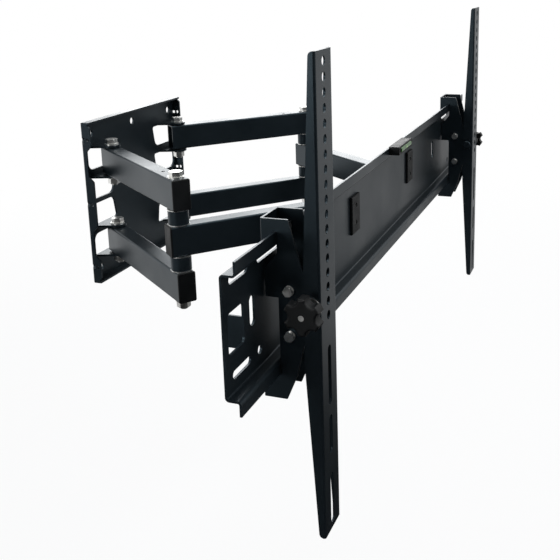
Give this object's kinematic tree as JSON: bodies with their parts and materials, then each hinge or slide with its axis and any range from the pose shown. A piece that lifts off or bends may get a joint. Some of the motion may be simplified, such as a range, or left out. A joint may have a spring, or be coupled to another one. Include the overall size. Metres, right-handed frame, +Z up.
{
  "type": "swivel tv wall mount",
  "caption": "Articulated wall mount: a folded wall plate, paired folding arms, a wide slotted cross plate and hook-on upright rails that slide, tilt and lock with star knobs.",
  "frame": {"origin": "centre of the wall bolt pattern, on the back face of the wall plate", "axes": "+Z up, +Y into the wall, +X to the right when facing the wall; the room is towards -Y"},
  "size_m": [0.894, 0.3936, 0.424],
  "materials": {
    "black_steel": "satin powder coat",
    "zinc_steel": "bright zinc plate",
    "black_plastic": "fine moulded grain",
    "green_vial": "clear tinted acrylic"
  },
  "bodies": {
    "wall_mount": {"wall_plate": "black_steel", "wall_pivot_bolts": "zinc_steel", "wall_pivot_nuts": "zinc_steel", "wall_pivot_washers": "zinc_steel"},
    "tv_head": {"cross_plate": "black_steel", "left_hinge_bracket": "black_steel", "right_hinge_bracket": "black_steel", "left_clamp_pad": "black_plastic", "right_clamp_pad": "black_plastic", "tv_pivot_bolts": "zinc_steel", "tv_pivot_nuts": "zinc_steel", "tv_pivot_washers": "zinc_steel", "pad_screws": "zinc_steel", "level_body": "black_plastic", "level_vial": "green_vial"},
    "left_arm_set": {"left_upper_arm": "black_steel", "left_lower_arm": "black_steel", "left_arm_caps": "black_plastic", "left_wall_bushes": "black_plastic", "left_elbow_bolt": "zinc_steel", "left_elbow_nut": "zinc_steel", "left_elbow_spacers": "black_steel", "left_elbow_washers": "zinc_steel"},
    "left_forearm_set": {"left_forearm": "black_steel", "left_forearm_caps": "black_plastic", "left_tv_bushes": "black_plastic"},
    "left_bracket_set": {"left_rail_bracket": "black_steel", "left_tie_bolts": "zinc_steel", "left_tie_nuts": "zinc_steel", "left_tie_washers": "zinc_steel", "left_tie_spacers": "black_steel", "left_tilt_bolt": "black_steel", "left_tilt_washer": "zinc_steel"},
    "left_rail_set": {"left_rail": "black_steel"},
    "left_knob_set": {"left_knob": "black_plastic", "left_knob_insert": "zinc_steel"},
    "right_arm_set": {"right_upper_arm": "black_steel", "right_lower_arm": "black_steel", "right_arm_caps": "black_plastic", "right_wall_bushes": "black_plastic", "right_elbow_bolt": "zinc_steel", "right_elbow_nut": "zinc_steel", "right_elbow_spacers": "black_steel", "right_elbow_washers": "zinc_steel"},
    "right_forearm_set": {"right_forearm": "black_steel", "right_forearm_caps": "black_plastic", "right_tv_bushes": "black_plastic"},
    "right_bracket_set": {"right_rail_bracket": "black_steel", "right_tie_bolts": "zinc_steel", "right_tie_nuts": "zinc_steel", "right_tie_washers": "zinc_steel", "right_tie_spacers": "black_steel", "right_tilt_bolt": "black_steel", "right_tilt_washer": "zinc_steel"},
    "right_rail_set": {"right_rail": "black_steel"},
    "right_knob_set": {"right_knob": "black_plastic", "right_knob_insert": "zinc_steel"}
  },
  "joints": [
    {"name": "fold", "type": "hinge", "parent": "wall_mount", "child": "left_arm_set", "pos_m": [-0.082, -0.023, 0], "axis": [0, 0, 1], "range_deg": [-32, 28]},
    {"name": "left_elbow", "type": "hinge", "parent": "left_arm_set", "child": "left_forearm_set", "pos_m": [-0.20513, -0.1806, 0], "axis": [0, 0, 1], "range_deg": [-56, 64]},
    {"name": "left_tv_fold", "type": "hinge", "parent": "left_forearm_set", "child": "tv_head", "pos_m": [-0.0565, -0.31443, 0], "axis": [0, 0, 1], "range_deg": [-32, 28]},
    {"name": "right_fold", "type": "hinge", "parent": "wall_mount", "child": "right_arm_set", "pos_m": [0.082, -0.023, 0], "axis": [0, 0, 1], "range_deg": [-28, 32]},
    {"name": "right_elbow", "type": "hinge", "parent": "right_arm_set", "child": "right_forearm_set", "pos_m": [0.23063, -0.15683, 0], "axis": [0, 0, 1], "range_deg": [-64, 56]},
    {"name": "left_slide", "type": "slide", "parent": "tv_head", "child": "left_bracket_set", "axis": [1, 0, 0], "range_m": [0, 0.18]},
    {"name": "left_tilt", "type": "hinge", "parent": "left_bracket_set", "child": "left_rail_set", "pos_m": [-0.3255, -0.37843, 0], "axis": [1, 0, 0], "range_deg": [-5, 15]},
    {"name": "left_knob_turn", "type": "hinge", "parent": "left_bracket_set", "child": "left_knob_set", "pos_m": [-0.3595, -0.37843, 0], "axis": [-1, 0, 0], "range_deg": [-180, 180]},
    {"name": "right_slide", "type": "slide", "parent": "tv_head", "child": "right_bracket_set", "axis": [-1, 0, 0], "range_m": [0, 0.18]},
    {"name": "right_tilt", "type": "hinge", "parent": "right_bracket_set", "child": "right_rail_set", "pos_m": [0.3765, -0.37843, 0], "axis": [1, 0, 0], "range_deg": [-5, 15]},
    {"name": "right_knob_turn", "type": "hinge", "parent": "right_bracket_set", "child": "right_knob_set", "pos_m": [0.4105, -0.37843, 0], "axis": [1, 0, 0], "range_deg": [-180, 180]}
  ],
  "couplings": [
    {"joint": "left_elbow", "follows": "fold", "ratio": -2},
    {"joint": "left_tv_fold", "follows": "fold", "ratio": 1},
    {"joint": "right_fold", "follows": "fold", "ratio": -1},
    {"joint": "right_elbow", "follows": "fold", "ratio": 2}
  ]
}
